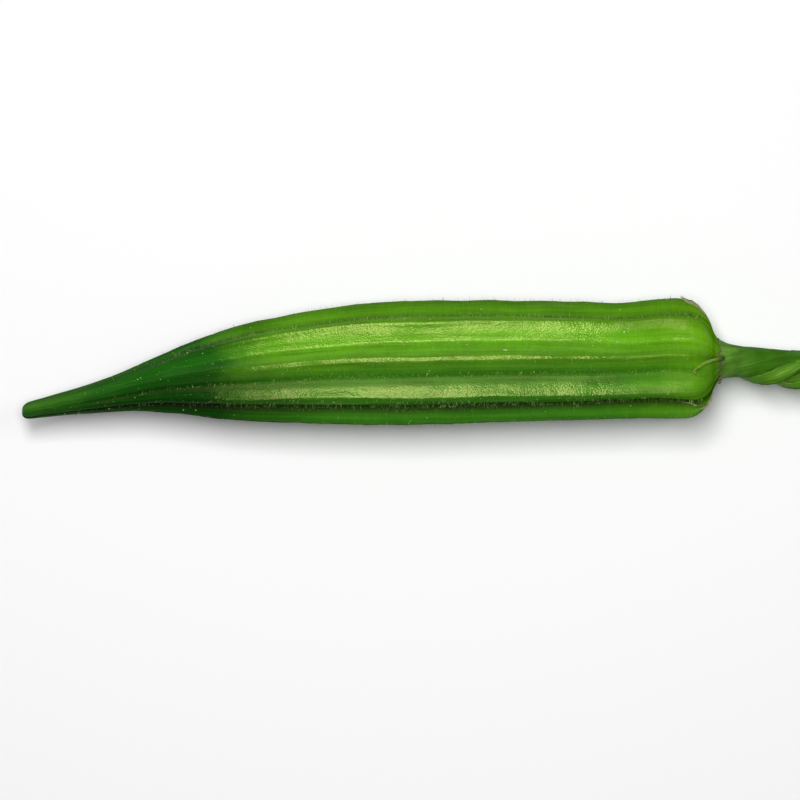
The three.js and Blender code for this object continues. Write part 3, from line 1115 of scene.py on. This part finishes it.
RIM_RADIUS = 4.0
RIM_STEPS = 150
RIM_SIDES = 8
# How far before the pod's seat the rim lies, and how uneven and how thin at least its crust is.
RIM_BACK = 0.45
RIM_RAGGED = 1.3
RIM_THINNEST = 0.25
CRUMBS = 70
CRUMB_SEED = 8
CRUMB_SIZES = (0.08, 0.24)
# Where most of the crumbs sit, as an angle from the top towards +Y, and how far they spread round the rim,
# off it and along the pod.
CRUMB_SIDE = math.radians(-38)
CRUMB_SPREAD = 0.8
CRUMBS_OFF_RIM = (-0.3, 0.3)
CRUMBS_ALONG = (-0.55, 0.15)
# How pale each part of the dry tissue is, from 0 to 1.
RIM_PALE = 0.25
# The crumbs are kept dark: partly their dry brown, partly painted shade of the gap at the rim.
CRUMB_PALE = 0.3
SCAR_PALE = 0.15
SHEET_PALE = 0.2
# Thin sheets that lie on the shoulder. Each has points (its way along the outline, its turn and its height
# above the skin), its width and its tilt away from the skin in degrees, both at the first and the last point,
# and an anchor, which is 0.5 where the points run along its middle and 0 or 1 where they run along an edge.
SHEETS = (
    (((0.87, 1.8, 0.03), (0.84, 1.79, 0.08), (0.81, 1.82, 0.12), (0.77, 1.85, 0.16), (0.74, 1.86, 0.22)),
     (0.3, 0.9), (-40, -68), 1.0),
    (((0.79, 1.9, 0.3), (0.76, 1.92, 0.45), (0.74, 1.97, 0.75)), (0.5, 0.2), (-65, -65), 0.5),
    (((0.81, 7.37, 0.1), (0.8, 7.42, 0.2), (0.77, 7.46, 0.2), (0.74, 7.52, 0.4)), (0.6, 0.3), (10, 10), 0.5),
    (((0.84, 7.22, 0.0), (0.86, 7.17, 0.02), (0.88, 7.14, 0.03), (0.89, 7.18, 0.03), (0.9, 7.3, 0.0)),
     (0.25, 0.42), (35, 45), 0.0),
)
SHEET_STEPS = 12
SHEET_ACROSS = 8
# How far a sheet's far end narrows to a point, and from what share of its length on.
SHEET_POINT = 0.9
SHEET_POINT_START = 0.7
SHEET_RAGGED = 0.35
SHEET_CURL = 0.22
# Threads of scar on the shoulder's edge, as points like those of the sheets.
SCARS = (
    ((0.8, 2.0, 0.0), (0.83, 1.93, 0.02), (0.86, 1.84, 0.02), (0.88, 1.8, 0.02), (0.91, 1.75, 0.02)),
    ((0.96, 7.2, 0.02), (0.93, 7.25, 0.02), (0.91, 7.3, 0.02), (0.9, 7.32, 0.02)),
    ((0.88, 7.13, 0.02), (0.86, 7.19, 0.02), (0.83, 7.28, 0.02), (0.81, 7.3, 0.0)),
)
SCAR_STEPS = 16
SCAR_SIDES = 6
# The bract's middle line, as points like those of the sheets, from its root to its end.
BRACT = (
    (1.0, 9.04, 0.4), (0.95, 8.96, 0.4), (0.9, 8.92, 0.36), (0.87, 8.88, 0.34), (0.84, 8.83, 0.34),
    (0.82, 8.76, 0.34), (0.8, 8.69, 0.34), (0.79, 8.6, 0.34), (0.8, 8.53, 0.32),
)
BRACT_STEPS = 10
BRACT_SIDES = 16
# The bract's radius in millimetres at each share of its length, and the knob at its root.
BRACT_RADII = ((0, 0.26), (0.3, 0.27), (0.6, 0.25), (0.85, 0.2), (1, 0.1))
KNOB_HEIGHT = 0.22
KNOB_REACH = 0.1
# How far the dark of the bract's root reaches, and how far of that it is full, in millimetres.
BRACT_DARK_SPAN = (3.4, 0.6)


def skin_line(points, steps, lift=0.0):
    """A curve over the plain skin."""
    return smooth_line([above_skin(way, turn, height + lift) for way, turn, height in points], steps)


class OKRA_OT_calyx_rim(bpy.types.Operator):
    """Makes the crusty rim round the stalk's root, with the dry slivers that lie on the shoulder"""

    bl_idname = "okra.calyx_rim"
    bl_label = "Calyx Rim"

    def execute(self, context):
        settings = context.scene.okra_calyx
        bm = bmesh.new()
        self.pale = bm.verts.layers.float.new("pale")
        self.add_crust(bm, settings)
        self.add_crumbs(bm)
        for sheet in SHEETS:
            self.add_sheet(bm, settings, *sheet)
        for number, points in enumerate(SCARS):
            verts = swept_tube(
                bm, skin_line(points, SCAR_STEPS),
                lambda along, _: 0.07 + 0.08 * noise.noise(Vector((along * 14, number, 0))), SCAR_SIDES,
            )
            for vert in verts:
                vert[self.pale] = SCAR_PALE
        finish_piece(bm, "calyx_rim_crust", [dry_material(settings)], ["calyx_rim"])
        return {"FINISHED"}

    def add_crust(self, bm, settings):
        """The ring of crust where the calyx sat, thin and broken."""
        middle = axis_at(POD_LENGTH)
        thick = settings.crust_thickness / MM / 2

        def place(vert, along, across):
            around = math.tau * along
            angle = math.tau * across
            ragged = 1 + RIM_RAGGED * noise.noise(Vector((7 * math.cos(around), 7 * math.sin(around), 2)))
            reach = thick * max(RIM_THINNEST, ragged)
            shift = Vector((reach * math.sin(angle) - RIM_BACK, 0, 0))
            vert[self.pale] = RIM_PALE
            return middle + round_offset(around, RIM_RADIUS + reach * math.cos(angle)) + shift

        verts = laid_grid(bm, RIM_STEPS, RIM_SIDES, place)
        bmesh.ops.remove_doubles(bm, verts=verts, dist=MERGE_DISTANCE)
        bmesh.ops.recalc_face_normals(bm, faces=bm.faces)

    def add_crumbs(self, bm):
        """Crumbs of dry tissue that stick to the ring."""
        draw = random.Random(CRUMB_SEED)
        middle = axis_at(POD_LENGTH)
        for _ in range(CRUMBS):
            around = CRUMB_SIDE + draw.gauss(0, CRUMB_SPREAD)
            place = middle + round_offset(around, RIM_RADIUS + draw.uniform(*CRUMBS_OFF_RIM))
            place.x += draw.uniform(*CRUMBS_ALONG)
            size = Matrix.Diagonal([draw.uniform(*CRUMB_SIZES) for _ in range(3)] + [1])
            matrix = Matrix.Translation(place) @ Matrix.Rotation(draw.uniform(0, math.tau), 4, "X") @ size
            verts = bmesh.ops.create_icosphere(bm, subdivisions=1, radius=1, matrix=matrix)["verts"]
            for vert in verts:
                vert[self.pale] = CRUMB_PALE

    def add_sheet(self, bm, settings, points, widths, tilts, anchor):
        """A thin dry sheet along a line over the skin, with its far end drawn out to a point."""
        line = skin_line(points, SHEET_STEPS)
        above = skin_line(points, SHEET_STEPS, 0.1)
        count = len(line) - 1

        def place(vert, along, across):
            index = round(along * count)
            ahead = (line[min(index + 1, count)] - line[max(index - 1, 0)]).normalized()
            out = (above[index] - line[index]).normalized()
            side = ahead.cross(out).normalized()
            ragged = 1 + SHEET_RAGGED * noise.noise(Vector((along * 7, anchor * 5, widths[0] * 9)))
            width = (widths[0] + (widths[1] - widths[0]) * along) * ragged
            lean = math.radians(tilts[0] + (tilts[1] - tilts[0]) * along)
            pointed = SHEET_POINT * smooth_step(SHEET_POINT_START, 1.0, along)
            reach = (across + (1 - anchor - across) * pointed - anchor) * width
            curl = SHEET_CURL * reach * reach / max(width, 0.1)
            vert[self.pale] = SHEET_PALE + smooth_step(0.0, 0.3, across if anchor else 1 - across)
            return line[index] + side * (reach * math.cos(lean)) + out * (reach * math.sin(lean) + curl)

        verts = laid_grid(bm, count, SHEET_ACROSS, place)
        bmesh.ops.solidify(bm, geom=faces_of(verts), thickness=settings.sliver_thickness / MM)


class OKRA_OT_bract(bpy.types.Operator):
    """Sweeps the thin curled bract from the rim over the shoulder"""

    bl_idname = "okra.bract"
    bl_label = "Bract"

    def execute(self, context):
        settings = context.scene.okra_calyx
        bm = bmesh.new()
        root = bm.verts.layers.float.new("root")
        line = skin_line(BRACT, BRACT_STEPS)

        def radius(along, angle):
            knob = KNOB_HEIGHT * math.exp(-((along / KNOB_REACH) ** 2))
            folds = 1 + 0.15 * math.cos(2 * angle) + 0.1 * math.cos(5 * angle)
            return (read_off(BRACT_RADII, along) + knob) * folds

        for vert in swept_tube(bm, line, radius, BRACT_SIDES):
            vert[root] = smooth_step(*BRACT_DARK_SPAN, (vert.co - line[0]).length)
        finish_piece(bm, "bract_thread", [bract_material(settings)], ["bract"])
        return {"FINISHED"}


# The stage

# Where the picture's middle lies: a station along the pod, and a distance from its axis towards +Y.
VIEW_MIDDLE = (70.5, -7.17)
SENSOR = 36.0
FLOOR_SIDE = 4.0
# The soft boxes, in metres: the place, the size, and the spot that each points at.
KEY_PLACE = (-0.05, 0.13, 0.7)
KEY_SIZE = (0.19, 0.44)
SIDE_PLACE = (0.55, 0.15, 0.65)
SIDE_SIZE = (0.3, 0.3)
SPOT = (0, 0, 0.01)


def area_light(name, place, size, brightness):
    """A soft box that points at the pod. The brightness is that of its face."""
    data = bpy.data.lights.new(name, "AREA")
    data.shape = "RECTANGLE"
    data.size, data.size_y = size
    data.energy = brightness * size[0] * size[1] * math.pi
    light = bpy.data.objects.new(name, data)
    bpy.context.collection.objects.link(light)
    light.location = place
    light.rotation_euler = (Vector(SPOT) - Vector(place)).to_track_quat("-Z", "Y").to_euler()


class OKRA_OT_stage(bpy.types.Operator):
    """Makes the pale floor, the soft lights and the camera that looks straight down"""

    bl_idname = "okra.stage"
    bl_label = "Stage"

    def execute(self, context):
        settings = context.scene.okra_stage
        self.make_floor(settings)
        self.make_lights(context, settings)
        self.make_camera(context, settings)
        return {"FINISHED"}

    def make_floor(self, settings):
        bm = bmesh.new()
        bmesh.ops.create_grid(bm, x_segments=1, y_segments=1, size=FLOOR_SIDE / 2)
        mesh = bpy.data.meshes.new("floor")
        bm.to_mesh(mesh)
        bm.free()
        floor = bpy.data.objects.new("floor", mesh)
        bpy.context.collection.objects.link(floor)
        material, _, shader = new_material("floor")
        shader.inputs["Base Color"].default_value = opaque(settings.floor_colour)
        shader.inputs["Roughness"].default_value = 0.9
        shader.inputs["Specular IOR Level"].default_value = 0.2
        mesh.materials.append(material)

    def make_lights(self, context, settings):
        world = bpy.data.worlds.new("room")
        world.use_nodes = True
        background = world.node_tree.nodes["Background"]
        background.inputs["Color"].default_value = (1, 1, 1, 1)
        background.inputs["Strength"].default_value = settings.room_strength
        context.scene.world = world
        area_light("key_light", KEY_PLACE, KEY_SIZE, settings.key_strength)
        area_light("side_light", SIDE_PLACE, SIDE_SIZE, settings.side_strength)
        context.scene.view_settings.view_transform = "Standard"

    def make_camera(self, context, settings):
        data = bpy.data.cameras.new("camera")
        camera = bpy.data.objects.new("camera", data)
        context.collection.objects.link(camera)
        station, side = VIEW_MIDDLE
        middle = (ORIGIN + Vector((station, side, 0))) * MM
        camera.location = (middle.x, middle.y, settings.camera_height)
        data.sensor_width = SENSOR
        data.lens = SENSOR * (settings.camera_height - middle.z) / settings.view_width
        data.clip_start = 0.01
        data.clip_end = 10
        context.scene.camera = camera


STEPS = (OKRA_OT_stage, OKRA_OT_skin, OKRA_OT_hairs, OKRA_OT_stalk, OKRA_OT_calyx_rim, OKRA_OT_bract)


class OKRA_PT_panel(bpy.types.Panel):
    """Lists the steps and their settings"""

    bl_idname = "OKRA_PT_panel"
    bl_label = "Okra Pod"
    bl_space_type = "VIEW_3D"
    bl_region_type = "UI"
    bl_category = "Okra Pod"

    def draw(self, context):
        for step in STEPS:
            self.layout.operator(step.bl_idname)
        for name in SETTINGS:
            group = getattr(context.scene, name)
            box = self.layout.box()
            for key in group.__annotations__:
                box.prop(group, key)


CLASSES = (*SETTINGS.values(), *STEPS, OKRA_PT_panel)


def register():
    for each in CLASSES:
        bpy.utils.register_class(each)
    for name, group in SETTINGS.items():
        setattr(bpy.types.Scene, name, PointerProperty(type=group))


def unregister():
    for name in SETTINGS:
        delattr(bpy.types.Scene, name)
    for each in reversed(CLASSES):
        bpy.utils.unregister_class(each)


def main():
    register()
    bpy.ops.okra.stage()
    bpy.ops.okra.skin()
    bpy.ops.okra.hairs()
    bpy.ops.okra.stalk()
    bpy.ops.okra.calyx_rim()
    bpy.ops.okra.bract()


if __name__ == "__main__":
    main()
